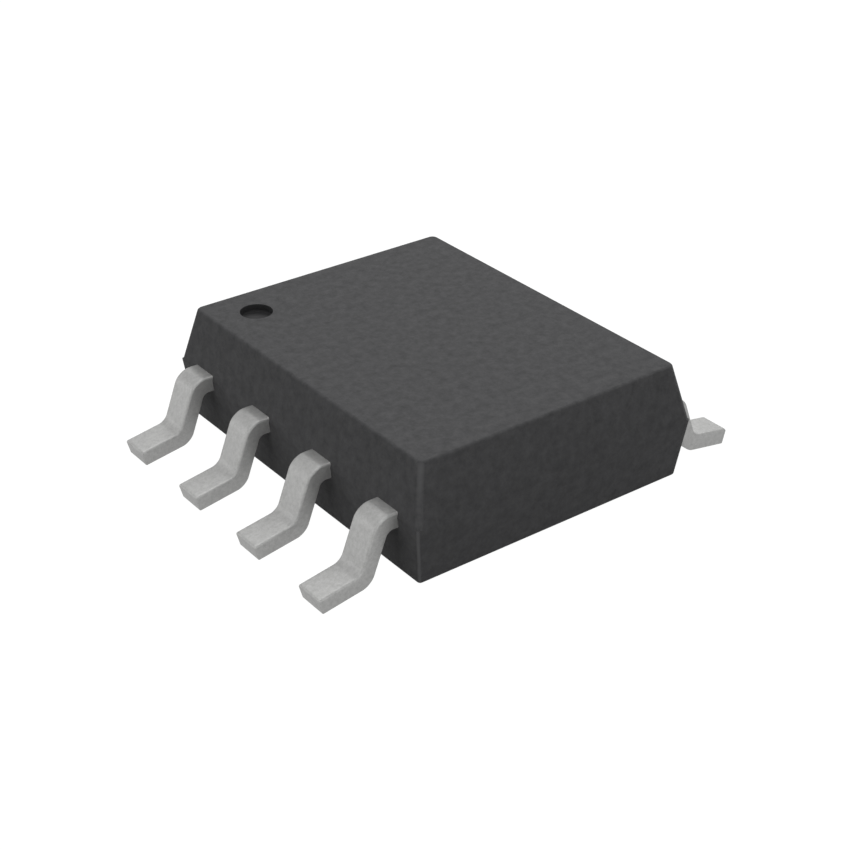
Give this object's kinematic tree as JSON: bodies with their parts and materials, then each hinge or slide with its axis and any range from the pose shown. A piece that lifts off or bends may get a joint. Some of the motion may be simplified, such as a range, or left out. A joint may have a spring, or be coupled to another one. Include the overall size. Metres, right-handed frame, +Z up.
{
  "type": "soic chip",
  "caption": "Moulded small-outline integrated circuit package with gull-wing leads down both sides, a lead-one dimple, and the die, paddle and bond wires inside.",
  "frame": {"origin": "on the board plane, under the middle of the package", "axes": "+X across the lead rows towards leads 5 to 8, +Y along the body towards the end with the dimple, +Z up from the board"},
  "size_m": [0.006, 0.005, 0.0016],
  "materials": {
    "mould_compound": "fine matte moulding",
    "tin_plated_lead": "matte tin plate",
    "strip_metal": "rolled copper alloy",
    "silver_epoxy": "cured, dull",
    "silicon": "polished",
    "gold_wire": "drawn, bright"
  },
  "bodies": {
    "root": {"moulded_body": "mould_compound", "die_paddle": "strip_metal", "die_attach": "silver_epoxy", "die": "silicon", "lead_1": "tin_plated_lead", "lead_2": "tin_plated_lead", "lead_3": "tin_plated_lead", "lead_4": "tin_plated_lead", "lead_5": "tin_plated_lead", "lead_6": "tin_plated_lead", "lead_7": "tin_plated_lead", "lead_8": "tin_plated_lead", "bond_wire_1": "gold_wire", "bond_wire_2": "gold_wire", "bond_wire_3": "gold_wire", "bond_wire_4": "gold_wire", "bond_wire_5": "gold_wire", "bond_wire_6": "gold_wire", "bond_wire_7": "gold_wire", "bond_wire_8": "gold_wire"}
  },
  "joints": []
}
